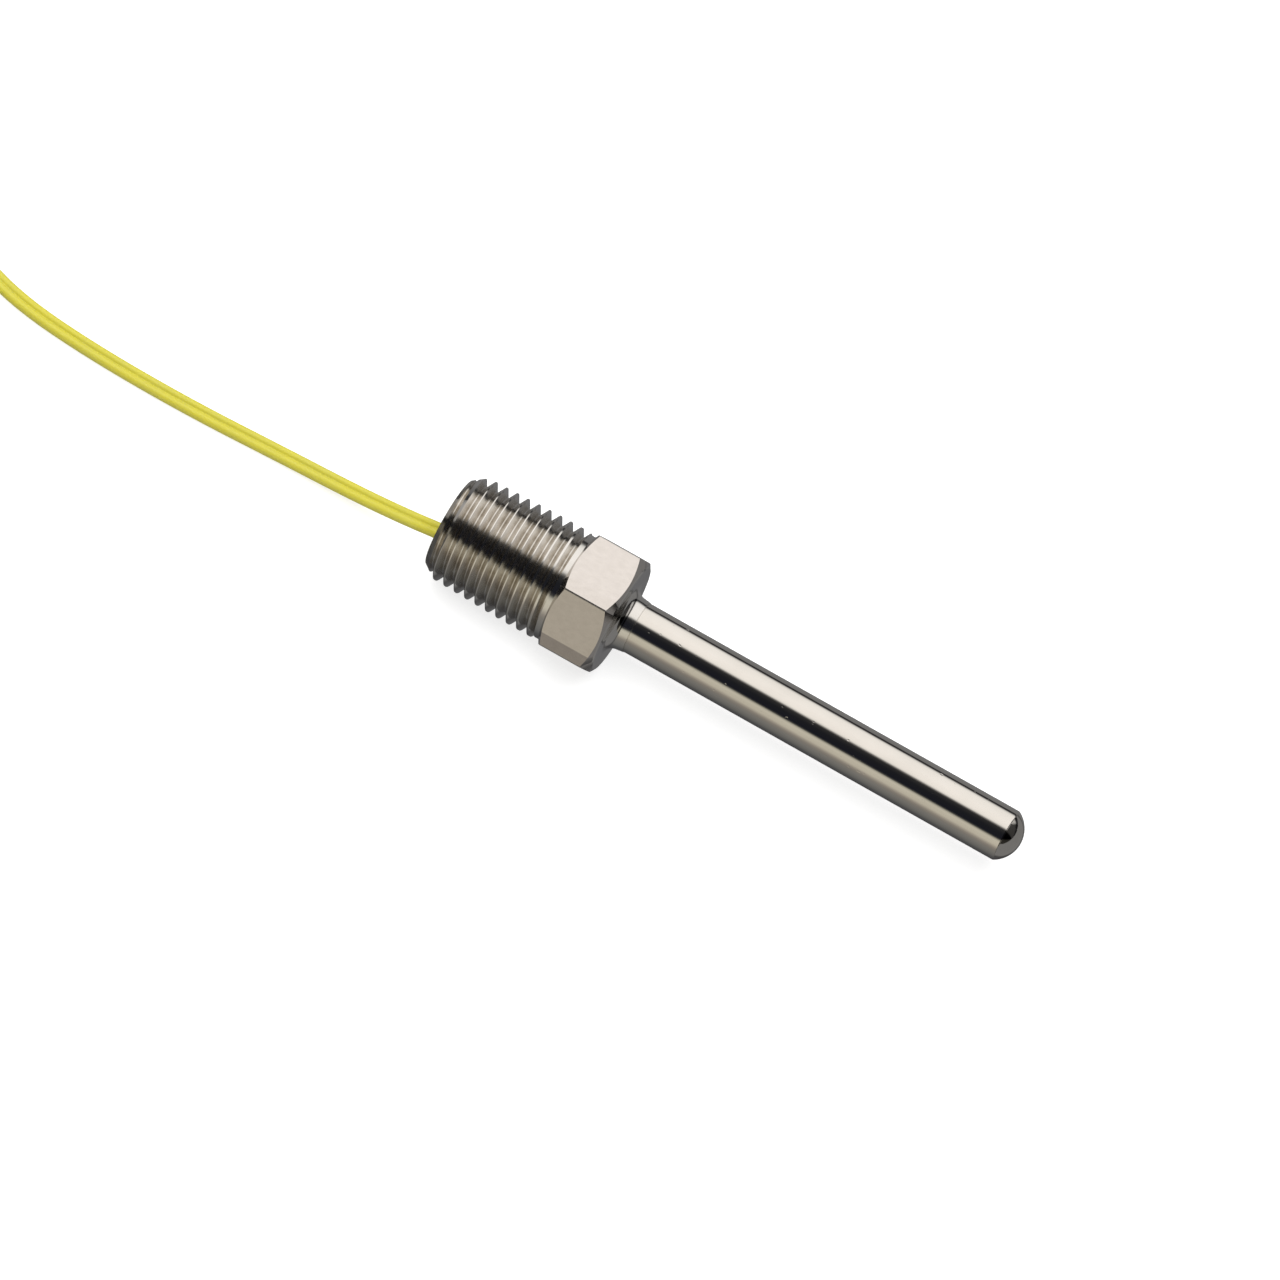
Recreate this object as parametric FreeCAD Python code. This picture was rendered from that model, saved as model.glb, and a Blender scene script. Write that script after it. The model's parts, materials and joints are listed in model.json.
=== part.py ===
import FreeCAD, Part
import math
import os

# Thermocouple probe: a threaded hex fitting, a brazed sheath with a closed tip, and a twin lead.
# Millimetres. +X runs along the probe towards its tip. +Z is up, with a hex flat underneath.
# The origin is on the probe's axis, in the hex face that the sheath comes out of.

Vector = FreeCAD.Vector
X_AXIS = Vector(1, 0, 0)
Z_AXIS = Vector(0, 0, 1)

# Fitting: 9/16 in hex bar with a 1/4-18 taper pipe thread on the lead's side
HEX_ACROSS_FLATS = 14.2875
HEX_LENGTH = 7.15
HEX_FRONT_FACE_RADIUS = 6.65
HEX_FRONT_CHAMFER_ANGLE = 32.0
HEX_REAR_FACE_RADIUS = 6.74
HEX_REAR_CHAMFER_ANGLE = 30.0
NECK_RADIUS = 6.72
NECK_LENGTH = 0.6
THREAD_PITCH = 25.4 / 18
THREAD_LENGTH = 15.2
THREAD_HALF_TAPER = 1 / 32
THREAD_HEIGHT = 1.0
THREAD_CREST_FLAT = 0.12
THREAD_FLANK_ANGLE = 30.0
THREAD_START_ANGLE = 15.0
THREAD_END_CREST_RADIUS = 6.62
THREAD_BLANK_RADIUS = 6.95
LEAD_IN_RADIUS = 5.5
LEAD_IN_LENGTH = 1.6
BOSS_FILLET_RADIUS = 1.3
BOSS_FOOT_RADIUS = 3.34
BOSS_NOSE_RADIUS = 3.24
BOSS_LENGTH = 2.0
BORE_RADIUS = 3.0
COUNTERBORE_RADIUS = 4.1
COUNTERBORE_DEPTH = 4.5
MOUTH_CHAMFER = 0.35

# Sheath: 1/4 in tube with a welded, domed end cap; its rear end is turned down to fit the bore
SHEATH_RADIUS = 3.175
SHEATH_INNER_RADIUS = 2.475
SHEATH_SPIGOT_RADIUS = 2.95
BRAZE_GAP = 0.12
BRAZE_PROUD = 0.02
SHEATH_INSERTION = 17.9
SHEATH_REACH = 52.8
DOME_RADIUS = 1.13 * SHEATH_RADIUS
CAP_LAND = 0.7
CAP_SPIGOT_LENGTH = 1.4
CAP_EDGE_RADIUS = 0.45

# Element: two thermoelement wires in twin-bore ceramic insulators, welded at the tip
ELEMENT_WIRE_RADIUS = 0.255
ELEMENT_WIRE_OFFSET = 0.9
WIRE_BEND_DEPTH = 0.3
BEAD_WIRE_OFFSET = 0.135
BEAD_RADIUS = 0.85
BEAD_GAP = 0.2
CEMENT_LENGTH = 2.8
INSULATOR_COUNT = 4
INSULATOR_LENGTH = 12.5
INSULATOR_RADIUS = 2.3
INSULATOR_BORE_RADIUS = 0.4
INSULATOR_GAP = 0.1

# Transition from the element to the lead, inside the sheath's rear end
SPLICE_RADIUS = 0.7
SPLICE_FRONT = -7.0
SPLICE_LENGTH = 5.5
SPLICE_GRIP = 2.5
SLEEVE_WALL = 0.15
SLEEVE_OVERHANG = 0.5
STRIP_LENGTH = 0.7
STRAIGHT_BEHIND_STRIP = 0.6
STRAIGHT_BEFORE_JACKET = 0.8
CONDUCTOR_RADIUS = 0.255
INSULATION_RADIUS = 0.45
SEAL_LENGTH = 2.2
PLUG_RECESS = 0.8

# Lead: a flat twin of two bonded insulated conductors, 36 in long with its stripped end
LEAD_WIDTH = 2.1
LEAD_THICKNESS = 1.15
ROUNDING_SHARE = 0.45

# Coil of put-away lead, wound on edge, with its two ties and its stripped end on top
COIL_CENTRE = (-98.9, -6.5)
COIL_MEAN_RADIUS = 11.25
COIL_COLUMNS = 4
COIL_ROWS = 3
COIL_COLUMN_PITCH = 1.2
COIL_ROW_PITCH = 2.15
COIL_CORNER_RADIUS = 0.6
TIE_THICKNESS = 0.4
TIE_WIDTH = 2.4
TIE_ANGLES = (30.0, 210.0)
TIE_HEAD = (2.2, 3.6, 3.2)
TAIL_START_ANGLE = 62.0
TAIL_OFFSET = 0.5
TAIL_INSULATED_LENGTH = 14.0
TAIL_BARE_LENGTH = 6.0

# Levels and stations worked out from the dimensions above
FLOOR = -HEX_ACROSS_FLATS / 2
HEX_REAR = -HEX_LENGTH
THREAD_FRONT = HEX_REAR - NECK_LENGTH
THREAD_END = THREAD_FRONT - THREAD_LENGTH
SHEATH_SHOULDER = BOSS_LENGTH + BRAZE_GAP
DOME_CENTRE = SHEATH_REACH - DOME_RADIUS
DOME_RIM = DOME_CENTRE + math.sqrt(DOME_RADIUS**2 - SHEATH_RADIUS**2)
SHEATH_FRONT = DOME_RIM - CAP_LAND
CAP_BACK = SHEATH_FRONT - CAP_SPIGOT_LENGTH
BEAD_CENTRE = CAP_BACK - BEAD_GAP - BEAD_RADIUS
CEMENT_BACK = CAP_BACK - CEMENT_LENGTH
PLUG_FRONT = THREAD_END + COUNTERBORE_DEPTH
PLUG_REAR = THREAD_END + PLUG_RECESS
COIL_BOTTOM = FLOOR + TIE_THICKNESS
COIL_HEIGHT = COIL_ROWS * COIL_ROW_PITCH
COIL_HALF_WIDTH = (COIL_COLUMNS - 1) * COIL_COLUMN_PITCH / 2 + LEAD_THICKNESS / 2

# The lead's route from inside the potting plug, out and down onto the surface, to the coil
LEAD_REST = FLOOR + LEAD_THICKNESS / 2
LEAD_ROUTE = [
    (-18.2, -0.55, -1.20),
    (-23.0, -0.55, -1.90),
    (-28.0, -0.42, -3.30),
    (-35.0, 0.10, -5.20),
    (-44.5, 0.50, LEAD_REST),
    (-57.0, -0.08, LEAD_REST),
    (-70.0, 0.05, LEAD_REST),
    (-81.0, 1.05, LEAD_REST),
    (-88.8, 3.60, LEAD_REST + 0.3),
    (-94.4, 5.90, LEAD_REST + 0.9),
]


def rod(start, end, radius):
    """A round bar between two points."""
    run = end - start
    return Part.makeCylinder(radius, run.Length, start, run)


def bar(x_from, x_to, radius, y=0.0, z=0.0):
    """A round bar along X."""
    return rod(Vector(x_from, y, z), Vector(x_to, y, z), radius)


def bent_rod(points, radius):
    """A thin wire through the points, with round elbows."""
    wire = rod(points[0], points[1], radius)
    for corner, following in zip(points[1:], points[2:]):
        wire = wire.fuse(Part.makeSphere(radius, corner))
        wire = wire.fuse(rod(corner, following, radius))
    return wire.removeSplitter()


def turned(outline):
    """A solid of revolution about X from (x, radius) corners."""
    corners = [Vector(x, 0, r) for x, r in outline]
    face = Part.Face(Part.makePolygon(corners + corners[:1]))
    return face.revolve(Vector(), X_AXIS, 360)


def thread_ridge():
    """The thread's ridge: a flat-topped 60 degree profile on a tapered right-hand helix along +X."""
    run_up = 1.5 * THREAD_PITCH
    run_out = 0.7 * NECK_LENGTH
    embedded = 0.05
    slope = math.tan(math.radians(THREAD_FLANK_ANGLE))
    root = THREAD_END_CREST_RADIUS - THREAD_HEIGHT - run_up * THREAD_HALF_TAPER
    half_crest = THREAD_CREST_FLAT / 2
    half_base = half_crest + (THREAD_HEIGHT + embedded) * slope
    corners = [
        Vector(root - embedded, 0, -half_base),
        Vector(root + THREAD_HEIGHT, 0, -half_crest),
        Vector(root + THREAD_HEIGHT, 0, half_crest),
        Vector(root - embedded, 0, half_base),
    ]
    profile = Part.makePolygon(corners + corners[:1])
    height = run_up + THREAD_LENGTH + run_out
    taper = math.degrees(math.atan(THREAD_HALF_TAPER))
    helix = Part.makeLongHelix(THREAD_PITCH, height, root, taper)
    ridge = Part.Wire(helix).makePipeShell([profile], True, True)
    ridge.rotate(Vector(), Vector(0, 1, 0), 90)
    ridge.rotate(Vector(), X_AXIS, THREAD_START_ANGLE)
    ridge.translate(Vector(THREAD_END - run_up, 0, 0))
    return ridge


def front_boss():
    """The turned boss in front of the hex: a concave fillet, then a short tapered land."""
    embedded = 1.0
    top = Vector(0, 0, BOSS_FOOT_RADIUS + BOSS_FILLET_RADIUS)
    foot = Vector(BOSS_FILLET_RADIUS, 0, BOSS_FOOT_RADIUS)
    reach = BOSS_FILLET_RADIUS * (1 - math.sqrt(0.5))
    middle = Vector(reach, 0, BOSS_FOOT_RADIUS + reach)
    nose = Vector(BOSS_LENGTH, 0, BOSS_NOSE_RADIUS)
    inside = [Vector(BOSS_LENGTH, 0, 0), Vector(-embedded, 0, 0), Vector(-embedded, 0, top.z)]
    corners = [foot, nose] + inside + [top]
    edges = [Part.makeLine(a, b) for a, b in zip(corners, corners[1:])]
    edges.append(Part.Arc(top, middle, foot).toShape())
    return Part.Face(Part.Wire(edges)).revolve(Vector(), X_AXIS, 360)


def fitting_body():
    """The hex, its front boss, its neck and its tapered thread, turned from one bar and bored."""
    margin = 0.3
    corner_radius = HEX_ACROSS_FLATS / math.sqrt(3)
    beyond_corner = corner_radius + margin
    front_slope = math.tan(math.radians(HEX_FRONT_CHAMFER_ANGLE))
    rear_slope = math.tan(math.radians(HEX_REAR_CHAMFER_ANGLE))
    front_chamfer = (beyond_corner - HEX_FRONT_FACE_RADIUS) * front_slope
    rear_chamfer = (beyond_corner - HEX_REAR_FACE_RADIUS) * rear_slope
    corners = [
        Vector(
            HEX_REAR,
            corner_radius * math.cos(math.radians(60 * k)),
            corner_radius * math.sin(math.radians(60 * k)),
        )
        for k in range(7)
    ]
    hexagon = Part.Face(Part.makePolygon(corners)).extrude(X_AXIS * HEX_LENGTH)
    end_root = THREAD_END_CREST_RADIUS - THREAD_HEIGHT
    front_root = end_root + THREAD_LENGTH * THREAD_HALF_TAPER
    core = turned([
        (HEX_REAR + margin, 0),
        (HEX_REAR + margin, NECK_RADIUS + margin),
        (THREAD_FRONT, NECK_RADIUS + margin),
        (THREAD_FRONT, front_root),
        (THREAD_END - margin, end_root - margin * THREAD_HALF_TAPER),
        (THREAD_END - margin, 0),
    ])
    crest_meets_blank = (
        THREAD_END + (THREAD_BLANK_RADIUS - THREAD_END_CREST_RADIUS) / THREAD_HALF_TAPER
    )
    envelope = turned([
        (0, 0),
        (0, HEX_FRONT_FACE_RADIUS),
        (-front_chamfer, beyond_corner),
        (HEX_REAR + rear_chamfer, beyond_corner),
        (HEX_REAR, HEX_REAR_FACE_RADIUS),
        (HEX_REAR, NECK_RADIUS),
        (THREAD_FRONT, NECK_RADIUS),
        (THREAD_FRONT - (THREAD_BLANK_RADIUS - NECK_RADIUS), THREAD_BLANK_RADIUS),
        (crest_meets_blank, THREAD_BLANK_RADIUS),
        (
            THREAD_END + LEAD_IN_LENGTH,
            THREAD_END_CREST_RADIUS + LEAD_IN_LENGTH * THREAD_HALF_TAPER,
        ),
        (THREAD_END, LEAD_IN_RADIUS),
        (THREAD_END, 0),
    ])
    bored = turned([
        (BOSS_LENGTH + margin, 0),
        (BOSS_LENGTH + margin, BORE_RADIUS),
        (PLUG_FRONT, BORE_RADIUS),
        (PLUG_FRONT, COUNTERBORE_RADIUS),
        (THREAD_END + MOUTH_CHAMFER, COUNTERBORE_RADIUS),
        (THREAD_END - margin, COUNTERBORE_RADIUS + MOUTH_CHAMFER + margin),
        (THREAD_END - margin, 0),
    ])
    solid = hexagon.fuse([core, thread_ridge()])
    return solid.common(envelope).fuse(front_boss()).cut(bored)


def sheath_tube():
    """The straight tube, with its turned-down rear end in the fitting."""
    outer = bar(SHEATH_SHOULDER, SHEATH_FRONT, SHEATH_RADIUS)
    spigot = bar(-SHEATH_INSERTION, SHEATH_SHOULDER, SHEATH_SPIGOT_RADIUS)
    return outer.fuse(spigot).cut(bar(-SHEATH_INSERTION, SHEATH_FRONT, SHEATH_INNER_RADIUS))


def tip_cap():
    """The domed cap that closes the tube: a spigot, a short land and a spherical end."""
    middle = math.radians(30)
    corners = [
        Vector(CAP_BACK, 0, 0),
        Vector(CAP_BACK, 0, SHEATH_INNER_RADIUS),
        Vector(SHEATH_FRONT, 0, SHEATH_INNER_RADIUS),
        Vector(SHEATH_FRONT, 0, SHEATH_RADIUS),
        Vector(DOME_RIM, 0, SHEATH_RADIUS),
    ]
    on_dome = Vector(
        DOME_CENTRE + DOME_RADIUS * math.cos(middle), 0, DOME_RADIUS * math.sin(middle)
    )
    tip = Vector(SHEATH_REACH, 0, 0)
    edges = [Part.makeLine(a, b) for a, b in zip(corners, corners[1:])]
    edges.append(Part.Arc(corners[-1], on_dome, tip).toShape())
    edges.append(Part.makeLine(tip, corners[0]))
    cap = Part.Face(Part.Wire(edges)).revolve(Vector(), X_AXIS, 360)
    rim = [
        e for e in cap.Edges
        if abs(e.BoundBox.XMin - DOME_RIM) < 1e-3 and abs(e.BoundBox.XMax - DOME_RIM) < 1e-3
    ]
    return cap.makeFillet(CAP_EDGE_RADIUS, rim)


def braze_ring():
    """The ring of filler between the boss and the tube's shoulder."""
    ring = bar(BOSS_LENGTH, SHEATH_SHOULDER, SHEATH_RADIUS + BRAZE_PROUD)
    return ring.cut(bar(BOSS_LENGTH, SHEATH_SHOULDER, SHEATH_SPIGOT_RADIUS))


def measuring_junction():
    """The bead where the two thermoelement wires are welded together."""
    return Part.makeSphere(BEAD_RADIUS, Vector(BEAD_CENTRE, 0, 0))


def element_wire(side):
    """One thermoelement wire, from its splice to the bead."""
    offset = side * ELEMENT_WIRE_OFFSET
    wire = bent_rod(
        [
            Vector(SPLICE_FRONT - SPLICE_GRIP, offset, 0),
            Vector(CEMENT_BACK + WIRE_BEND_DEPTH, offset, 0),
            Vector(BEAD_CENTRE, side * BEAD_WIRE_OFFSET, 0),
        ],
        ELEMENT_WIRE_RADIUS,
    )
    return wire.cut(measuring_junction())


def tip_cement():
    """The cement that fills the tip around the bead."""
    fill = bar(CEMENT_BACK, CAP_BACK, SHEATH_INNER_RADIUS)
    return fill.cut([measuring_junction(), element_wire(1), element_wire(-1)])


def insulator(index):
    """One twin-bore ceramic insulator, counted from the tip."""
    front = CEMENT_BACK - INSULATOR_GAP - index * (INSULATOR_LENGTH + INSULATOR_GAP)
    body = bar(front - INSULATOR_LENGTH, front, INSULATOR_RADIUS)
    bores = [
        bar(front - INSULATOR_LENGTH, front, INSULATOR_BORE_RADIUS, side * ELEMENT_WIRE_OFFSET)
        for side in (1, -1)
    ]
    return body.cut(bores)


def splice(side):
    """The crimped barrel that joins a thermoelement wire to its lead conductor."""
    offset = side * ELEMENT_WIRE_OFFSET
    barrel = bar(SPLICE_FRONT - SPLICE_LENGTH, SPLICE_FRONT, SPLICE_RADIUS, offset)
    return barrel.cut([element_wire(side), lead_core(side)])


def splice_sleeve(side):
    """The insulating sleeve over one splice."""
    offset = side * ELEMENT_WIRE_OFFSET
    front = SPLICE_FRONT + SLEEVE_OVERHANG
    back = SPLICE_FRONT - SPLICE_LENGTH - SLEEVE_OVERHANG
    outer = bar(back, front, SPLICE_RADIUS + SLEEVE_WALL, offset)
    return outer.cut(bar(back, front, SPLICE_RADIUS, offset))


def conductor_points(side):
    """The way of one conductor from its splice back to its half of the twin lead."""
    start_x, start_y, start_z = LEAD_ROUTE[0]
    spacing = (LEAD_WIDTH - LEAD_THICKNESS) / 2
    splice_back = SPLICE_FRONT - SPLICE_LENGTH
    offset = side * ELEMENT_WIRE_OFFSET
    return [
        Vector(splice_back + SPLICE_GRIP, offset, 0),
        Vector(splice_back - STRIP_LENGTH, offset, 0),
        Vector(splice_back - STRIP_LENGTH - STRAIGHT_BEHIND_STRIP, offset, 0),
        Vector(start_x + STRAIGHT_BEFORE_JACKET, start_y + side * spacing, start_z),
        Vector(start_x, start_y + side * spacing, start_z),
    ]


def lead_core(side):
    """The conductor inside the rear of the sheath."""
    return bent_rod(conductor_points(side), CONDUCTOR_RADIUS)


def lead_insulation(side):
    """The insulation of that conductor, cut back short of the splice."""
    covered = conductor_points(side)[1:]
    return bent_rod(covered, INSULATION_RADIUS).cut(lead_core(side))


def sheath_seal():
    """The cement that closes the sheath's rear end around the conductors."""
    fill = bar(-SHEATH_INSERTION, -SHEATH_INSERTION + SEAL_LENGTH, SHEATH_INNER_RADIUS)
    wires = [make(side) for make in (lead_core, lead_insulation) for side in (1, -1)]
    return fill.cut(wires)


def potting_plug():
    """The epoxy in the fitting's counterbore, which holds the lead."""
    plug = bar(PLUG_REAR, PLUG_FRONT, COUNTERBORE_RADIUS)
    wires = [make(side) for make in (lead_core, lead_insulation) for side in (1, -1)]
    return plug.cut([lead_cord()] + wires)


def rounded_route(points):
    """Straight runs joined by tangent arcs, each as large as its two runs allow."""
    edges = []
    radii = []
    position = points[0]
    for before, corner, after in zip(points, points[1:], points[2:]):
        arriving = (corner - before).normalize()
        leaving = (after - corner).normalize()
        setback = ROUNDING_SHARE * min((corner - before).Length, (after - corner).Length)
        half_turn = arriving.getAngle(leaving) / 2
        radius = setback / math.tan(half_turn)
        inward = (leaving - arriving).normalize()
        first = corner - arriving * setback
        last = corner + leaving * setback
        middle = corner + inward * (radius / math.cos(half_turn) - radius)
        edges.append(Part.LineSegment(position, first).toShape())
        edges.append(Part.Arc(first, middle, last).toShape())
        radii.append(round(radius, 1))
        position = last
    edges.append(Part.LineSegment(position, points[-1]).toShape())
    return Part.Wire(edges), radii


def lead_section(centre, along):
    """The flat outline of the twin lead, square to its direction, with its width level."""
    across = Z_AXIS.cross(along).normalize()
    up = along.cross(across).normalize()
    half_flat = (LEAD_WIDTH - LEAD_THICKNESS) / 2
    radius = LEAD_THICKNESS / 2
    near = centre + across * half_flat
    far = centre - across * half_flat
    return Part.Wire([
        Part.LineSegment(far + up * radius, near + up * radius).toShape(),
        Part.Arc(near + up * radius, near + across * radius, near - up * radius).toShape(),
        Part.LineSegment(near - up * radius, far - up * radius).toShape(),
        Part.Arc(far - up * radius, far - across * radius, far + up * radius).toShape(),
    ])


def lead_cord():
    """The stretch of lead from the potting plug to the coil."""
    points = [Vector(*p) for p in LEAD_ROUTE]
    path, _ = rounded_route(points)
    sweep = Part.BRepOffsetAPI.MakePipeShell(path)
    sweep.setBiNormalMode(Z_AXIS)
    sweep.add(lead_section(points[0], (points[1] - points[0]).normalize()))
    sweep.build()
    sweep.makeSolid()
    return sweep.shape()


def rounded_rectangle(x_from, x_to, z_from, z_to, corner):
    """A round-cornered face in the XZ plane."""
    edges = []
    sides = []
    centres = [
        (x_to - corner, z_to - corner, 45),
        (x_from + corner, z_to - corner, 135),
        (x_from + corner, z_from + corner, 225),
        (x_to - corner, z_from + corner, 315),
    ]
    for x, z, middle in centres:
        on_arc = [
            Vector(
                x + corner * math.cos(math.radians(middle + turn)),
                0,
                z + corner * math.sin(math.radians(middle + turn)),
            )
            for turn in (-45, 0, 45)
        ]
        edges.append(Part.Arc(*on_arc).toShape())
        sides.append((on_arc[0], on_arc[2]))
    for side, following in zip(sides, sides[1:] + sides[:1]):
        edges.append(Part.LineSegment(side[1], following[0]).toShape())
    return Part.Face(Part.Wire(Part.__sortEdges__(edges)))


def about_coil(shape, turn):
    """Turns a shape about the coil's axis, from the plane through it, and puts it on the coil."""
    shape.rotate(Vector(), Z_AXIS, turn)
    shape.translate(Vector(COIL_CENTRE[0], COIL_CENTRE[1], 0))
    return shape


def coil_band(margin, span, start):
    """The coil's round-cornered section, grown by a margin and swept about the coil's axis."""
    section = rounded_rectangle(
        COIL_MEAN_RADIUS - COIL_HALF_WIDTH - margin,
        COIL_MEAN_RADIUS + COIL_HALF_WIDTH + margin,
        COIL_BOTTOM - margin,
        COIL_BOTTOM + COIL_HEIGHT + margin,
        COIL_CORNER_RADIUS + margin,
    )
    return about_coil(section.revolve(Vector(), Z_AXIS, span), start)


def lead_coil():
    """The outer shape of the put-away turns."""
    return coil_band(0, 360, 0)


def coil_tie(middle_angle):
    """A cable tie round the turns, with its head beside the turns on the inside."""
    span = math.degrees(TIE_WIDTH / COIL_MEAN_RADIUS)
    band = coil_band(TIE_THICKNESS, span, middle_angle - span / 2).cut(lead_coil())
    thick, wide, tall = TIE_HEAD
    inner = COIL_MEAN_RADIUS - COIL_HALF_WIDTH
    level = COIL_BOTTOM + COIL_HEIGHT / 2
    head = Part.makeBox(thick, wide, tall, Vector(inner - thick, -wide / 2, level - tall / 2))
    return band.fuse(about_coil(head, middle_angle)).cut(lead_coil())


def tail_arc(column_radius, radius, length):
    """A wire lying on the coil's top, curved with its turns."""
    level = COIL_BOTTOM + COIL_HEIGHT + INSULATION_RADIUS
    ring = Part.makeCircle(radius, Vector(column_radius, 0, level), Vector(0, 1, 0))
    span = math.degrees(length / column_radius)
    arc = Part.Face(Part.Wire(ring)).revolve(Vector(), Z_AXIS, span)
    return about_coil(arc, TAIL_START_ANGLE)


def tail_insulation(side):
    """The insulated conductor past the end of the jacket."""
    column = COIL_MEAN_RADIUS + side * TAIL_OFFSET
    cover = tail_arc(column, INSULATION_RADIUS, TAIL_INSULATED_LENGTH)
    return cover.cut(tail_core(side))


def tail_core(side):
    """The conductor itself, bare at its end."""
    column = COIL_MEAN_RADIUS + side * TAIL_OFFSET
    length = TAIL_INSULATED_LENGTH + TAIL_BARE_LENGTH
    return tail_arc(column, CONDUCTOR_RADIUS, length)


def parts():
    """Every piece by its name."""
    made = {
        "fitting_body": fitting_body(),
        "sheath_tube": sheath_tube(),
        "tip_cap": tip_cap(),
        "braze_ring": braze_ring(),
        "measuring_junction": measuring_junction(),
        "tip_cement": tip_cement(),
        "sheath_seal": sheath_seal(),
        "potting_plug": potting_plug(),
        "lead_cord": lead_cord(),
        "lead_coil": lead_coil(),
    }
    for index in range(INSULATOR_COUNT):
        made[f"insulator_{index + 1}"] = insulator(index)
    for index, angle in enumerate(TIE_ANGLES):
        made[f"coil_tie_{index + 1}"] = coil_tie(angle)
    for side, sign in ((1, "positive"), (-1, "negative")):
        made[f"element_wire_{sign}"] = element_wire(side)
        made[f"splice_{sign}"] = splice(side)
        made[f"splice_sleeve_{sign}"] = splice_sleeve(side)
        made[f"lead_core_{sign}"] = lead_core(side)
        made[f"lead_insulation_{sign}"] = lead_insulation(side)
        made[f"tail_core_{sign}"] = tail_core(side)
        made[f"tail_insulation_{sign}"] = tail_insulation(side)
    return made


def report_lead(lead):
    """Prints the lead's bends, and its volume beside that of its section times its length."""
    path, radii = rounded_route([Vector(*p) for p in LEAD_ROUTE])
    radius = LEAD_THICKNESS / 2
    section = math.pi * radius**2 + (LEAD_WIDTH - LEAD_THICKNESS) * LEAD_THICKNESS
    print("lead length", round(path.Length, 2), "bend radii", radii)
    print("lead volume", round(lead.Volume, 2), "expected", round(section * path.Length, 2))


os.makedirs("parts", exist_ok=True)
for name, shape in parts().items():
    print(name, "valid", shape.isValid(), "solids", len(shape.Solids), "mm3", round(shape.Volume, 2))
    if name == "lead_cord":
        report_lead(shape)
    shape.exportStep(f"parts/{name}.step")
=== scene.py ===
import json
import math

import bmesh
import bpy
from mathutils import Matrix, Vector


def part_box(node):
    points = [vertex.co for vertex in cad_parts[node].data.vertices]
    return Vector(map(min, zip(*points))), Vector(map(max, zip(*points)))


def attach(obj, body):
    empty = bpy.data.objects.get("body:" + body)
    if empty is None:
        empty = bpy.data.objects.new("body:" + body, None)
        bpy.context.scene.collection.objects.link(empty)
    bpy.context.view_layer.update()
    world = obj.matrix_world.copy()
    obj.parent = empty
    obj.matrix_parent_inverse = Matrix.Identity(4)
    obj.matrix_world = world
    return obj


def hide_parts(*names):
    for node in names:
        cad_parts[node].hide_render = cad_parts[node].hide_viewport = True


# Looks for the thermocouple probe: camera, lead, materials, light. Metres, in the CAD's frame.

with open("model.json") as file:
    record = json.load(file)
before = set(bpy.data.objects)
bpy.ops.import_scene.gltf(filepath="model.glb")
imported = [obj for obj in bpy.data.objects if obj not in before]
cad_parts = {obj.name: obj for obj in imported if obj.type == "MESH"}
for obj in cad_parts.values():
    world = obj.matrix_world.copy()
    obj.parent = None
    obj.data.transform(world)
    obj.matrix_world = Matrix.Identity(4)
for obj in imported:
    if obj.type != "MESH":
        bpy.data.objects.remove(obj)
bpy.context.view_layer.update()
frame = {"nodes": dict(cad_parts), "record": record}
nodes = frame["nodes"]
MM = 0.001

fitting_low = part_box("fitting_body")[0]
coil_low, coil_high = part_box("lead_coil")
FLOOR = fitting_low.z
COIL_CENTRE = (coil_low + coil_high) / 2

# ---------------------------------------------------------------- camera
# The probe's axis leans a little towards the camera, which looks down at about 60 degrees.
TILT = math.radians(7.5)
ELEVATION = math.radians(61.1)
ROLL = math.radians(29.4)
LENS = 300.0
SENSOR = 36.0
FRAME_WIDTH = 0.14709
CENTRE_RIGHT = 0.00211
CENTRE_UP = -0.00241
CLIP_NEAR = 0.05
CLIP_FAR = 50


def make_camera():
    """A long lens, rolled so that the probe runs down to the right."""
    axis = Vector((1, 0, 0))
    side = Vector((0, -math.cos(ELEVATION), math.sin(ELEVATION)))
    back = math.sin(TILT) * axis + math.cos(TILT) * side
    along = (axis - math.sin(TILT) * back) / math.cos(TILT)
    above = back.cross(along)
    right = math.cos(ROLL) * along + math.sin(ROLL) * above
    up = -math.sin(ROLL) * along + math.cos(ROLL) * above
    target = right * CENTRE_RIGHT + up * CENTRE_UP
    data = bpy.data.cameras.new("camera")
    data.lens = LENS
    data.sensor_width = SENSOR
    data.clip_start = CLIP_NEAR
    data.clip_end = CLIP_FAR
    camera = bpy.data.objects.new("camera", data)
    bpy.context.scene.collection.objects.link(camera)
    camera.rotation_mode = "QUATERNION"
    camera.location = target + back * (FRAME_WIDTH * LENS / SENSOR)
    matrix = camera.matrix_world.to_3x3()
    matrix.col[0] = right
    matrix.col[1] = up
    matrix.col[2] = back
    camera.rotation_quaternion = matrix.to_quaternion()
    bpy.context.scene.camera = camera


make_camera()

# ---------------------------------------------------------------- lead
LEAD_WIDTH = 2.1 * MM
LEAD_THICKNESS = 1.15 * MM
LEAD_REST = FLOOR + LEAD_THICKNESS / 2
# The lead's route in the CAD model, from inside the potting to the coil
LEAD_ROUTE = [
    (-18.2 * MM, -0.55 * MM, -1.20 * MM),
    (-23.0 * MM, -0.55 * MM, -1.90 * MM),
    (-28.0 * MM, -0.42 * MM, -3.30 * MM),
    (-35.0 * MM, 0.10 * MM, -5.20 * MM),
    (-44.5 * MM, 0.50 * MM, LEAD_REST),
    (-57.0 * MM, -0.08 * MM, LEAD_REST),
    (-70.0 * MM, 0.05 * MM, LEAD_REST),
    (-81.0 * MM, 1.05 * MM, LEAD_REST),
    (-88.8 * MM, 3.60 * MM, LEAD_REST + 0.3 * MM),
    (-94.4 * MM, 5.90 * MM, LEAD_REST + 0.9 * MM),
]

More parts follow.
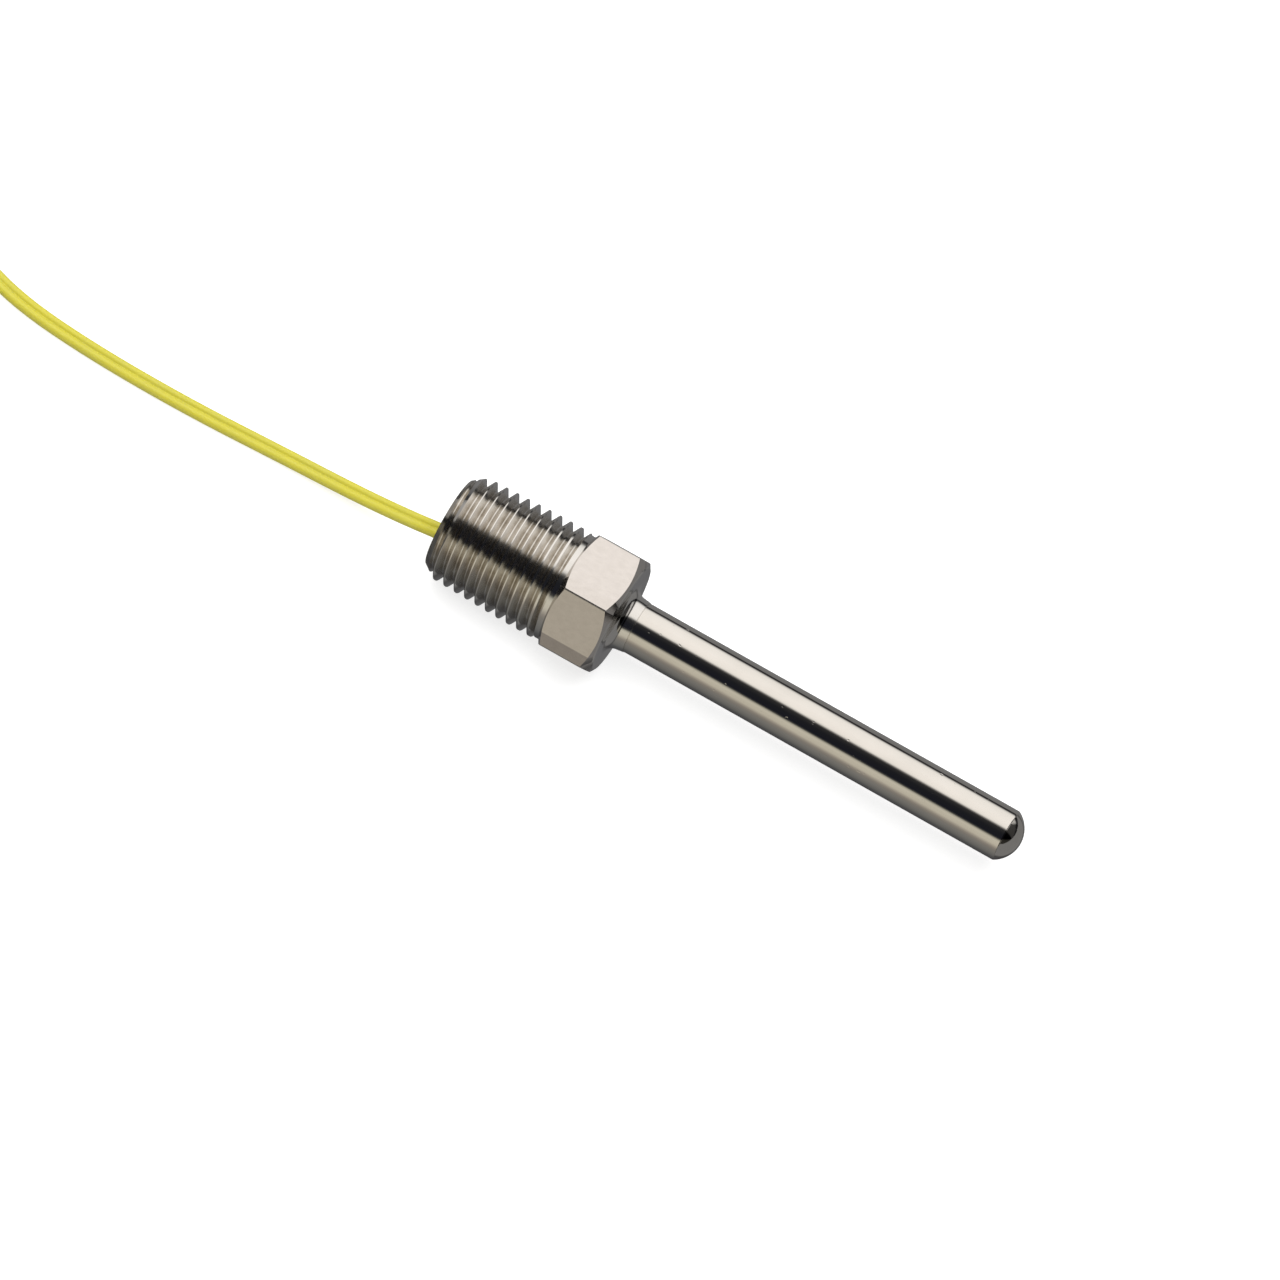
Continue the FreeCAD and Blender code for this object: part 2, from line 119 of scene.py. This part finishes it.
# Coil: turns on edge, four side by side, in three layers. Angles are in degrees along the turns,
# from where the lead joins them. At each JOG the lead moves over by one turn.
COIL_MEAN_RADIUS = 11.25 * MM
COLUMN_PITCH = 1.2 * MM
ROW_PITCH = 2.15 * MM
COLUMNS = 4
COIL_BOTTOM = coil_low.z
COIL_TOP = coil_high.z
JOIN_ANGLE = 70.0
COIL_STEP = 15.0
STEP_SHRINK = 0.9915
FIRST_COIL_ANGLE = 30.0
COIL_END = 4312.0
JOG = 30.0
INWARD_1 = (330.0, 690.0, 1050.0)
CLIMB_1 = 1380.0
OUTWARD_2 = (1710.0, 2070.0, 2430.0)
CLIMB_2 = 2760.0
INWARD_3 = (3090.0, 3450.0, 3810.0)
CLIMB_3 = 4140.0
OVER_TIE = 4280.0
OVER_TIE_HALF = 24.0
OVER_TIE_FLAT = 0.3
OVER_TIE_RISE = 0.48 * MM


def eased(value, start, end):
    """0 before start, 1 after end, and a smooth rise between."""
    share = min(max((value - start) / (end - start), 0.0), 1.0)
    return share * share * (3 - 2 * share)


def coil_point(angle):
    """The middle of the lead at an angle along its turns."""
    column = COLUMNS - 1
    column -= sum(eased(angle, start, start + JOG) for start in INWARD_1)
    column += sum(eased(angle, start, start + JOG) for start in OUTWARD_2)
    column -= sum(eased(angle, start, start + JOG) for start in INWARD_3)
    row = eased(angle, CLIMB_1, CLIMB_1 + JOG) + eased(angle, CLIMB_2, CLIMB_2 + JOG)
    radius = COIL_MEAN_RADIUS + (column - (COLUMNS - 1) / 2) * COLUMN_PITCH
    height = COIL_BOTTOM + (row + 0.5) * ROW_PITCH
    standing = COIL_TOP + LEAD_WIDTH / 2
    lying = COIL_TOP + LEAD_THICKNESS / 2
    height += (standing - height) * eased(angle, CLIMB_3, CLIMB_3 + JOG)
    height += (lying - standing) * eased(angle, CLIMB_3 + JOG, CLIMB_3 + 2.5 * JOG)
    away = abs(angle - OVER_TIE) / OVER_TIE_HALF
    height += OVER_TIE_RISE * (1 - eased(away, OVER_TIE_FLAT, 1.0))
    radius += (COIL_MEAN_RADIUS - radius) * eased(angle, CLIMB_3 + JOG, CLIMB_3 + 3 * JOG)
    turn = math.radians(JOIN_ANGLE + angle)
    radius /= STEP_SHRINK
    return (
        COIL_CENTRE.x + radius * math.cos(turn),
        COIL_CENTRE.y + radius * math.sin(turn),
        height,
    )


LINE_STEPS = 6


def spline_points(points):
    """The points of a smooth NURBS line with the given control points."""
    data = bpy.data.curves.new("lead_line", "CURVE")
    data.dimensions = "3D"
    data.resolution_u = LINE_STEPS
    spline = data.splines.new("NURBS")
    spline.points.add(len(points) - 1)
    for control, point in zip(spline.points, points):
        control.co = (*point, 1)
    spline.order_u = 3
    spline.use_endpoint_u = True
    line = bpy.data.objects.new("lead_line", data)
    mesh = bpy.data.meshes.new_from_object(line)
    found = [v.co.copy() for v in mesh.vertices]
    bpy.data.objects.remove(line)
    bpy.data.curves.remove(data)
    bpy.data.meshes.remove(mesh)
    return found


# The twin's section: how far round each lobe goes, and half the web's thickness
GROOVE_ANGLE = 132.0
GROOVE_HALF = 0.3 * MM
LOBE_STEPS = 14


def twin_outline():
    """The twin's section: two round lobes joined by a web. Pairs of (across, up)."""
    lobe = LEAD_THICKNESS / 2
    offset = LEAD_WIDTH / 2 - lobe
    right = []
    for k in range(LOBE_STEPS + 1):
        angle = math.radians(-GROOVE_ANGLE + 2 * GROOVE_ANGLE * k / LOBE_STEPS)
        right.append((offset + lobe * math.cos(angle), lobe * math.sin(angle)))
    left = [(-x, -y) for x, y in right]
    return right + [(0.0, GROOVE_HALF)] + left + [(0.0, -GROOVE_HALF)]


# Where the lead turns on edge on its way into the coil, in metres along it, and where it lies flat
# again, in metres before its end
EDGE_START = 0.068
EDGE_END = 0.088
FLAT_AGAIN = 0.027
FLAT_DONE = 0.017


def make_lead():
    """The twin lead: one closed mesh swept along its line."""
    angles = []
    angle = FIRST_COIL_ANGLE
    while angle < COIL_END:
        angles.append(angle)
        angle += COIL_STEP
    controls = LEAD_ROUTE + [coil_point(a) for a in angles + [COIL_END]]
    path = spline_points(controls)
    gone = [0.0]
    for a, b in zip(path, path[1:]):
        gone.append(gone[-1] + (b - a).length)
    total = gone[-1]
    outline = twin_outline()
    mesh = bmesh.new()
    rings = []
    for index, point in enumerate(path):
        before = path[max(index - 1, 0)]
        after = path[min(index + 1, len(path) - 1)]
        along = (after - before).normalized()
        level = Vector((0, 0, 1)).cross(along).normalized()
        upright = along.cross(level)
        on_edge = eased(gone[index], EDGE_START, EDGE_END)
        on_edge -= eased(gone[index], total - FLAT_AGAIN, total - FLAT_DONE)
        turn = math.pi / 2 * on_edge
        across = math.cos(turn) * level + math.sin(turn) * upright
        up = along.cross(across)
        rings.append([mesh.verts.new(point + across * x + up * y) for x, y in outline])
    count = len(outline)
    for ring, following in zip(rings, rings[1:]):
        for k in range(count):
            after = (k + 1) % count
            mesh.faces.new((ring[k], ring[after], following[after], following[k]))
    mesh.faces.new(list(reversed(rings[0])))
    mesh.faces.new(rings[-1])
    bmesh.ops.recalc_face_normals(mesh, faces=mesh.faces)
    data = bpy.data.meshes.new("lead")
    mesh.to_mesh(data)
    mesh.free()
    for face in data.polygons:
        face.use_smooth = len(face.vertices) == 4
    lead = bpy.data.objects.new("lead", data)
    bpy.context.scene.collection.objects.link(lead)
    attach(lead, "root")
    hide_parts("lead_cord", "lead_coil")
    return lead


lead = make_lead()

# ---------------------------------------------------------------- materials

# Which part of the noise's range becomes patches, and which a wandering value
PATCH_START, PATCH_FULL = 0.35, 0.65
WANDER_START, WANDER_FULL = 0.3, 0.7


class Graph:
    """A material under construction, with short ways to add and join nodes."""

    def __init__(self, name):
        self.material = bpy.data.materials.new(name)
        self.material.use_nodes = True
        self.tree = self.material.node_tree
        self.tree.nodes.clear()
        self.shader = self.add("ShaderNodeBsdfPrincipled")
        output = self.add("ShaderNodeOutputMaterial")
        self.join(self.shader.outputs["BSDF"], output.inputs["Surface"])
        self.place = self.add("ShaderNodeTexCoord").outputs["Object"]

    def add(self, kind, **settings):
        node = self.tree.nodes.new(kind)
        for key, value in settings.items():
            setattr(node, key, value)
        return node

    def join(self, source, target):
        self.tree.links.new(source, target)

    def feed(self, socket, value):
        """Sets a socket to a number or colour, or links it to an output."""
        if isinstance(value, bpy.types.NodeSocket):
            self.join(value, socket)
        else:
            socket.default_value = value

    def math(self, operation, a, b=0.0):
        node = self.add("ShaderNodeMath", operation=operation)
        self.feed(node.inputs[0], a)
        self.feed(node.inputs[1], b)
        return node.outputs[0]

    def spread(self, value, low, high, to_low, to_high):
        """Maps a range to another, held at its ends."""
        node = self.add("ShaderNodeMapRange")
        for socket, item in zip(node.inputs, (value, low, high, to_low, to_high)):
            self.feed(socket, item)
        return node.outputs[0]

    def noise(self, size, stretch=(1, 1, 1), detail=3.0):
        """Noise with features of about the given size in metres."""
        mapping = self.add("ShaderNodeMapping")
        self.join(self.place, mapping.inputs["Vector"])
        mapping.inputs["Scale"].default_value = [s / size for s in stretch]
        node = self.add("ShaderNodeTexNoise")
        node.inputs["Scale"].default_value = 1.0
        node.inputs["Detail"].default_value = detail
        self.join(mapping.outputs[0], node.inputs["Vector"])
        return node.outputs["Fac"]

    def patches(self, source, low=0.0, high=1.0):
        """Turns noise into soft-edged patches of two values."""
        return self.spread(source, PATCH_START, PATCH_FULL, low, high)

    def varied(self, source, low, high):
        """Turns noise into a value that wanders between two others."""
        return self.spread(source, WANDER_START, WANDER_FULL, low, high)

    def mix(self, share, a, b):
        node = self.add("ShaderNodeMix", data_type="RGBA")
        self.feed(node.inputs[0], share)
        for socket, colour in ((node.inputs[6], a), (node.inputs[7], b)):
            linked = isinstance(colour, bpy.types.NodeSocket)
            self.feed(socket, colour if linked else (*colour, 1))
        return node.outputs[2]

    def bump(self, height, distance, strength=1.0, under=None):
        node = self.add("ShaderNodeBump")
        node.inputs["Distance"].default_value = distance
        node.inputs["Strength"].default_value = strength
        self.join(height, node.inputs["Height"])
        if under is not None:
            self.join(under, node.inputs["Normal"])
        return node.outputs[0]

    def finish(self, colour, roughness, normal=None, **values):
        self.feed(self.shader.inputs["Base Color"], colour)
        self.feed(self.shader.inputs["Roughness"], roughness)
        if normal is not None:
            self.join(normal, self.shader.inputs["Normal"])
        for key, value in values.items():
            self.shader.inputs[key.replace("_", " ")].default_value = value
        return self.material


def plain_finish(name, light, dark, rough, patch, grain, depth, stretch=(1, 1, 1), **values):
    """A surface with two tones in patches, a varying roughness and a fine grain."""
    graph = Graph(name)
    colour = graph.mix(graph.patches(graph.noise(patch, stretch)), light, dark)
    fine = graph.noise(grain, stretch, detail=2.0)
    roughness = graph.varied(fine, rough[0], rough[1])
    normal = graph.bump(fine, depth)
    return graph.finish(colour, roughness, normal, **values)


SHEATH_LIGHT = (0.79, 0.755, 0.70)
SHEATH_DARK = (0.75, 0.715, 0.66)


def sheath_steel():
    """Bright drawn tube: faint long draw lines, soft patches and a few pits."""
    graph = Graph("sheath_steel")
    soft = graph.spread(graph.noise(2.2 * MM, (0.5, 1, 1)), 0.35, 0.7, 0, 1)
    colour = graph.mix(soft, SHEATH_LIGHT, SHEATH_DARK)
    lines = graph.noise(0.12 * MM, (0.02, 1, 1), detail=2.0)
    roughness = graph.varied(lines, 0.06, 0.09)
    pits = graph.spread(graph.noise(0.55 * MM, (0.7, 1, 1), detail=1.0), 0.20, 0.27, 0, 1)
    normal = graph.bump(lines, 0.0006 * MM)
    normal = graph.bump(pits, 0.02 * MM, 0.5, under=normal)
    return graph.finish(colour, roughness, normal, Metallic=1.0)


HEX_REAR = -7.15 * MM
THREAD_FRONT = -7.75 * MM
# The thread's crests swell from its open end, over this length
CREST_END = 6.62 * MM
CREST_FULL = 6.95 * MM
CREST_RUN = 10.6 * MM
# How far below the crests the painted shade in the thread's roots starts, and where it is full
ROOT_START = 0.25 * MM
ROOT_FULL = 0.85 * MM
# The hex's own finish lies outside the neck and the front face
HEX_FINISH_START = 6.8 * MM
HEX_FINISH_FULL = 6.9 * MM
# How quickly one finish gives way to the next along the axis
THREAD_SEAM = 0.1 * MM
HEX_SEAM = 0.02 * MM
# Each hex flat: where it starts to fall away on one side, and where its corners are rounded
FALL_START = 2.45 * MM
FALL_SLOPE = 0.12
ROUND_START = 4.0 * MM
ROUND_SLOPE = 0.3
TURNED_LIGHT = (0.80, 0.775, 0.735)
TURNED_DARK = (0.76, 0.735, 0.695)
# Painted shade: the darker colour given to the thread's roots
ROOT_PAINTED_SHADE = (0.56, 0.52, 0.46)
HEX_LIGHT = (0.745, 0.70, 0.655)
HEX_DARK = (0.71, 0.665, 0.62)


def hex_relief(graph, y, z, radius):
    """The small departures of the hex's six flats from flat, as a height."""
    sector = math.radians(60)
    turn = graph.math("ARCTAN2", z, graph.math("MULTIPLY", y, -1))
    sixths = graph.math("ADD", graph.math("DIVIDE", turn, sector), 6)
    share = graph.math("FRACT", sixths)
    offset = graph.math("MULTIPLY", graph.math("SUBTRACT", share, 0.5), sector)
    along_flat = graph.math("MULTIPLY", radius, graph.math("SINE", offset))
    side = graph.math("MULTIPLY", along_flat, -1)
    fall = graph.math("MAXIMUM", graph.math("SUBTRACT", side, FALL_START), 0)
    fall = graph.math("MULTIPLY", fall, -FALL_SLOPE)
    edge = graph.math("SUBTRACT", graph.math("ABSOLUTE", along_flat), ROUND_START)
    edge = graph.math("MULTIPLY", graph.math("MAXIMUM", edge, 0), -ROUND_SLOPE)
    return graph.math("ADD", fall, edge)


def fitting_steel():
    """Turned bar: rings on the turned parts, mottling on the hex, painted shade in the thread's
    roots, which are also a little rougher.
    """
    graph = Graph("fitting_steel")
    split = graph.add("ShaderNodeSeparateXYZ")
    graph.join(graph.place, split.inputs[0])
    x, y, z = split.outputs
    squares = graph.math("ADD", graph.math("MULTIPLY", y, y), graph.math("MULTIPLY", z, z))
    radius = graph.math("SQRT", squares)

    on_thread = graph.spread(x, THREAD_FRONT - THREAD_SEAM, THREAD_FRONT, 1, 0)
    crest = graph.spread(x, fitting_low.x, fitting_low.x + CREST_RUN, CREST_END, CREST_FULL)
    depth = graph.math("SUBTRACT", crest, radius)
    # Painted shade: the colour darkens in the thread's roots, deeper below the crests, in patches;
    # the roots are also a little rougher
    deep = graph.spread(depth, ROOT_START, ROOT_FULL, 0, 1)
    root = graph.math("MULTIPLY", deep, on_thread)
    root_shade_patches = graph.patches(graph.noise(1.3 * MM, detail=2.0), 0.2, 1)
    root = graph.math("MULTIPLY", root, root_shade_patches)
    clean = graph.mix(graph.patches(graph.noise(1.6 * MM)), TURNED_LIGHT, TURNED_DARK)
    colour = graph.mix(root, clean, ROOT_PAINTED_SHADE)

    before = graph.spread(x, HEX_REAR - HEX_SEAM, HEX_REAR, 0, 1)
    after = graph.spread(x, -HEX_SEAM, 0, 1, 0)
    outside = graph.spread(radius, HEX_FINISH_START, HEX_FINISH_FULL, 0, 1)
    on_hex = graph.math("MULTIPLY", graph.math("MULTIPLY", before, after), outside)
    milled = graph.noise(0.6 * MM, (0.6, 1, 1))
    hex_tone = graph.mix(graph.patches(milled), HEX_LIGHT, HEX_DARK)
    colour = graph.mix(on_hex, colour, hex_tone)

    roughness = graph.varied(graph.noise(0.9 * MM, detail=2.0), 0.09, 0.14)
    roughness = graph.math("ADD", roughness, graph.math("MULTIPLY", on_hex, 0.06))
    roughness = graph.math("ADD", roughness, graph.math("MULTIPLY", root, 0.08))

    rings = graph.noise(0.14 * MM, (1, 0.02, 0.02), detail=2.0)
    normal = graph.bump(rings, 0.0004 * MM)
    normal = graph.bump(milled, 0.0015 * MM, 0.6, under=normal)
    relief = graph.math("MULTIPLY", hex_relief(graph, y, z, radius), on_hex)
    normal = graph.bump(relief, 1.0, under=normal)
    return graph.finish(colour, roughness, normal, Metallic=1.0)


YELLOW_LIGHT = (0.50, 0.455, 0.045)
YELLOW_DARK = (0.475, 0.44, 0.055)
SPECK = (0.25, 0.2, 0.05)
SPECK_STRENGTH = 0.35


def jacket():
    """Extruded yellow insulation, slightly translucent, with small marks."""
    graph = Graph("lead_jacket")
    colour = graph.mix(graph.patches(graph.noise(3.0 * MM)), YELLOW_LIGHT, YELLOW_DARK)
    specks = graph.spread(graph.noise(0.8 * MM, detail=1.0), 0.17, 0.2, 1, 0)
    colour = graph.mix(graph.math("MULTIPLY", specks, SPECK_STRENGTH), colour, SPECK)
    fine = graph.noise(0.25 * MM)
    roughness = graph.varied(fine, 0.33, 0.43)
    normal = graph.bump(fine, 0.004 * MM)
    return graph.finish(
        colour, roughness, normal,
        Subsurface_Weight=0.2, Subsurface_Radius=(0.5, 0.45, 0.1), Subsurface_Scale=0.001,
    )


CERAMIC = plain_finish(
    "insulator_ceramic", (0.85, 0.82, 0.74), (0.79, 0.76, 0.67),
    rough=(0.5, 0.62), patch=3 * MM, grain=0.2 * MM, depth=0.01 * MM,
)
CEMENT = plain_finish(
    "cement", (0.72, 0.70, 0.64), (0.62, 0.60, 0.55),
    rough=(0.75, 0.9), patch=0.8 * MM, grain=0.15 * MM, depth=0.03 * MM,
)
ALLOY = plain_finish(
    "element_alloy", (0.52, 0.50, 0.47), (0.42, 0.40, 0.38),
    rough=(0.3, 0.42), patch=1.5 * MM, grain=0.05 * MM, depth=0.002 * MM,
    stretch=(0.1, 1, 1), Metallic=1.0,
)
CONDUCTOR = plain_finish(
    "lead_conductor", (0.62, 0.60, 0.57), (0.52, 0.50, 0.46),
    rough=(0.22, 0.34), patch=1.5 * MM, grain=0.05 * MM, depth=0.002 * MM,
    Metallic=1.0,
)
SPLICE = plain_finish(
    "splice_metal", (0.74, 0.72, 0.68), (0.66, 0.63, 0.58),
    rough=(0.25, 0.38), patch=1.0 * MM, grain=0.1 * MM, depth=0.004 * MM,
    Metallic=1.0,
)
SLEEVE = plain_finish(
    "sleeve", (0.8, 0.8, 0.78), (0.74, 0.74, 0.72),
    rough=(0.4, 0.5), patch=1.5 * MM, grain=0.2 * MM, depth=0.005 * MM,
)
BRAZE = plain_finish(
    "braze", (0.68, 0.65, 0.60), (0.58, 0.55, 0.50),
    rough=(0.16, 0.26), patch=0.5 * MM, grain=0.08 * MM, depth=0.002 * MM,
    Metallic=1.0,
)
EPOXY = plain_finish(
    "epoxy", (0.02, 0.018, 0.016), (0.03, 0.026, 0.022),
    rough=(0.14, 0.24), patch=1.5 * MM, grain=0.5 * MM, depth=0.02 * MM,
)
YELLOW = plain_finish(
    "insulation_yellow", YELLOW_LIGHT, (0.46, 0.42, 0.045),
    rough=(0.33, 0.43), patch=1.5 * MM, grain=0.2 * MM, depth=0.003 * MM,
)
RED = plain_finish(
    "insulation_red", (0.50, 0.035, 0.03), (0.43, 0.03, 0.025),
    rough=(0.33, 0.43), patch=1.5 * MM, grain=0.2 * MM, depth=0.003 * MM,
)
NYLON = plain_finish(
    "tie_nylon", (0.80, 0.80, 0.77), (0.74, 0.74, 0.71),
    rough=(0.38, 0.5), patch=2.5 * MM, grain=0.2 * MM, depth=0.004 * MM,
    Subsurface_Weight=0.25, Subsurface_Radius=(1, 1, 1), Subsurface_Scale=0.0005,
)
JACKET = jacket()
FITTING = fitting_steel()
SHEATH = sheath_steel()

LOOKS = {
    "fitting_steel": FITTING,
    "sheath_steel": SHEATH,
    "braze": BRAZE,
    "element_alloy": ALLOY,
    "insulator_ceramic": CERAMIC,
    "cement": CEMENT,
    "splice_metal": SPLICE,
    "sleeve": SLEEVE,
    "epoxy": EPOXY,
    "lead_jacket": JACKET,
    "insulation_yellow": YELLOW,
    "insulation_red": RED,
    "lead_conductor": CONDUCTOR,
    "tie_nylon": NYLON,
}

for part in frame["record"]["subparts"]:
    shown = nodes[part["node"]].data
    shown.materials.clear()
    shown.materials.append(LOOKS[part["material_slot"]])
lead.data.materials.append(JACKET)

# ---------------------------------------------------------------- floor and light

# A table lit from below: the shadows on it stay faint
FLOOR_HALF = 6.0
FLOOR_TONE = 0.4
FLOOR_GLOW = 0.78
FLOOR_ROUGHNESS = 0.9


def make_floor():
    """A plain pale floor, far larger than the view."""
    mesh = bmesh.new()
    bmesh.ops.create_grid(mesh, x_segments=1, y_segments=1, size=FLOOR_HALF)
    data = bpy.data.meshes.new("floor")
    mesh.to_mesh(data)
    mesh.free()
    floor = bpy.data.objects.new("floor", data)
    floor.location.z = FLOOR
    bpy.context.scene.collection.objects.link(floor)
    floor.visible_glossy = False
    graph = Graph("floor")
    graph.finish(
        (FLOOR_TONE, FLOOR_TONE, FLOOR_TONE, 1), FLOOR_ROUGHNESS,
        Specular_IOR_Level=0.0, Emission_Color=(1, 1, 1, 1), Emission_Strength=FLOOR_GLOW,
    )
    data.materials.append(graph.material)


make_floor()

# What the metal mirrors: long bands beside the probe. Degrees round the probe's axis, from the
# horizon on the near side up over the top, with each band's colour.
BANDS = [
    (-180, (0.20, 0.20, 0.205)),
    (-145, (0.21, 0.21, 0.215)),
    (-120, (0.15, 0.15, 0.155)),
    (-95, (0.06, 0.06, 0.063)),
    (-72, (0.092, 0.094, 0.10)),
    (-56, (0.15, 0.152, 0.15)),
    (-33, (0.21, 0.207, 0.20)),
    (-22, (0.24, 0.228, 0.21)),
    (-13, (0.30, 0.275, 0.245)),
    (-5, (0.43, 0.40, 0.345)),
    (3, (0.59, 0.555, 0.47)),
    (22, (0.64, 0.61, 0.52)),
    (28, (0.46, 0.445, 0.38)),
    (33, (0.07, 0.07, 0.065)),
    (38, (0.012, 0.013, 0.02)),
    (60, (0.014, 0.015, 0.019)),
    (76, (0.03, 0.03, 0.032)),
    (81, (0.16, 0.155, 0.15)),
    (87, (0.88, 0.86, 0.84)),
    (93, (1.06, 1.03, 1.0)),
    (118, (1.12, 1.09, 1.07)),
    (150, (1.05, 1.03, 1.01)),
    (160, (0.85, 0.84, 0.83)),
    (166, (0.12, 0.12, 0.12)),
    (170, (0.02, 0.02, 0.022)),
    (176, (0.025, 0.025, 0.028)),
    (180, (0.20, 0.20, 0.205)),
]
# How bright the bands stay towards the probe's two ends, by the direction's share along +X. They
# stop short of the tip's side, where one more soft panel stands by itself.
ENDS = [
    (-1.0, 0.25),
    (-0.9, 0.45),
    (-0.6, 1.0),
    (0.33, 1.0),
    (0.42, 0.06),
    (0.54, 0.06),
    (0.61, 0.55),
    (0.71, 0.55),
    (0.77, 0.05),
    (1.0, 0.04),
]
# The table beyond the tip, mirrored by what faces that way and looks below the horizon
TABLE_END = (0.21, 0.21, 0.212, 1)
TABLE_END_START = 0.35
TABLE_END_FULL = 0.5
HORIZON_BLUR = 0.02
# What the camera itself sees past the floor
BACKDROP = (0.9, 0.9, 0.9, 1)


def colour_ramp(tree, stops):
    """A ramp through pairs of place, from 0 to 1, and colour."""
    ramp = tree.nodes.new("ShaderNodeValToRGB")
    elements = ramp.color_ramp.elements
    while len(elements) < len(stops):
        elements.new(0.5)
    for element, (position, colour) in zip(elements, stops):
        element.position = position
        element.color = (*colour, 1)
    return ramp


def make_world():
    """A studio of long soft bands, set out round the probe's axis."""
    world = bpy.data.worlds.new("studio")
    bpy.context.scene.world = world
    world.use_nodes = True
    tree = world.node_tree
    tree.nodes.clear()
    link = tree.links.new

    def add(kind, **settings):
        node = tree.nodes.new(kind)
        for key, value in settings.items():
            setattr(node, key, value)
        return node

    def ranged(source, low, high):
        node = add("ShaderNodeMapRange")
        link(source, node.inputs["Value"])
        node.inputs["From Min"].default_value = low
        node.inputs["From Max"].default_value = high
        return node.outputs[0]

    def computed(operation, a, b):
        node = add("ShaderNodeMath", operation=operation)
        for socket, value in zip(node.inputs, (a, b)):
            if isinstance(value, bpy.types.NodeSocket):
                link(value, socket)
            else:
                socket.default_value = value
        return node.outputs[0]

    def mixed(blend, share, a, b):
        node = add("ShaderNodeMix", data_type="RGBA", blend_type=blend)
        for socket, value in zip((node.inputs[0], node.inputs[6], node.inputs[7]), (share, a, b)):
            if isinstance(value, bpy.types.NodeSocket):
                link(value, socket)
            else:
                socket.default_value = value
        return node.outputs[2]

    split = add("ShaderNodeSeparateXYZ")
    link(add("ShaderNodeTexCoord").outputs["Generated"], split.inputs[0])
    x, y, z = split.outputs
    angle = computed("ARCTAN2", z, computed("MULTIPLY", y, -1))
    bands = colour_ramp(tree, [((d + 180) / 360, c) for d, c in BANDS])
    link(ranged(angle, -math.pi, math.pi), bands.inputs["Fac"])
    ends = colour_ramp(tree, [((e + 1) / 2, (v, v, v)) for e, v in ENDS])
    link(ranged(x, -1, 1), ends.inputs["Fac"])
    above = mixed("MULTIPLY", 1.0, bands.outputs["Color"], ends.outputs["Color"])
    under = ranged(z, HORIZON_BLUR, -HORIZON_BLUR)
    below = computed("MULTIPLY", under, ranged(x, TABLE_END_START, TABLE_END_FULL))
    mirrored = mixed("MIX", below, above, TABLE_END)
    from_camera = add("ShaderNodeLightPath").outputs["Is Camera Ray"]
    seen = mixed("MIX", from_camera, mirrored, BACKDROP)
    background = add("ShaderNodeBackground")
    link(seen, background.inputs["Color"])
    link(background.outputs[0], add("ShaderNodeOutputWorld").inputs["Surface"])


make_world()

LAMP_SIZE = 1.4
LAMP_BACK = 0.1
LAMP_HEIGHT = 1.3
LAMP_POWER = 26.0


def make_lamp():
    """A broad soft light overhead, for the floor and the lead."""
    data = bpy.data.lights.new("overhead", "AREA")
    data.shape = "SQUARE"
    data.size = LAMP_SIZE
    data.energy = LAMP_POWER
    lamp = bpy.data.objects.new("overhead", data)
    lamp.location = (0, LAMP_BACK, LAMP_HEIGHT)
    lamp.visible_glossy = False
    bpy.context.scene.collection.objects.link(lamp)


make_lamp()

scene = bpy.context.scene
scene.view_settings.view_transform = "Standard"
scene.view_settings.look = "None"

bpy.context.view_layer.update()
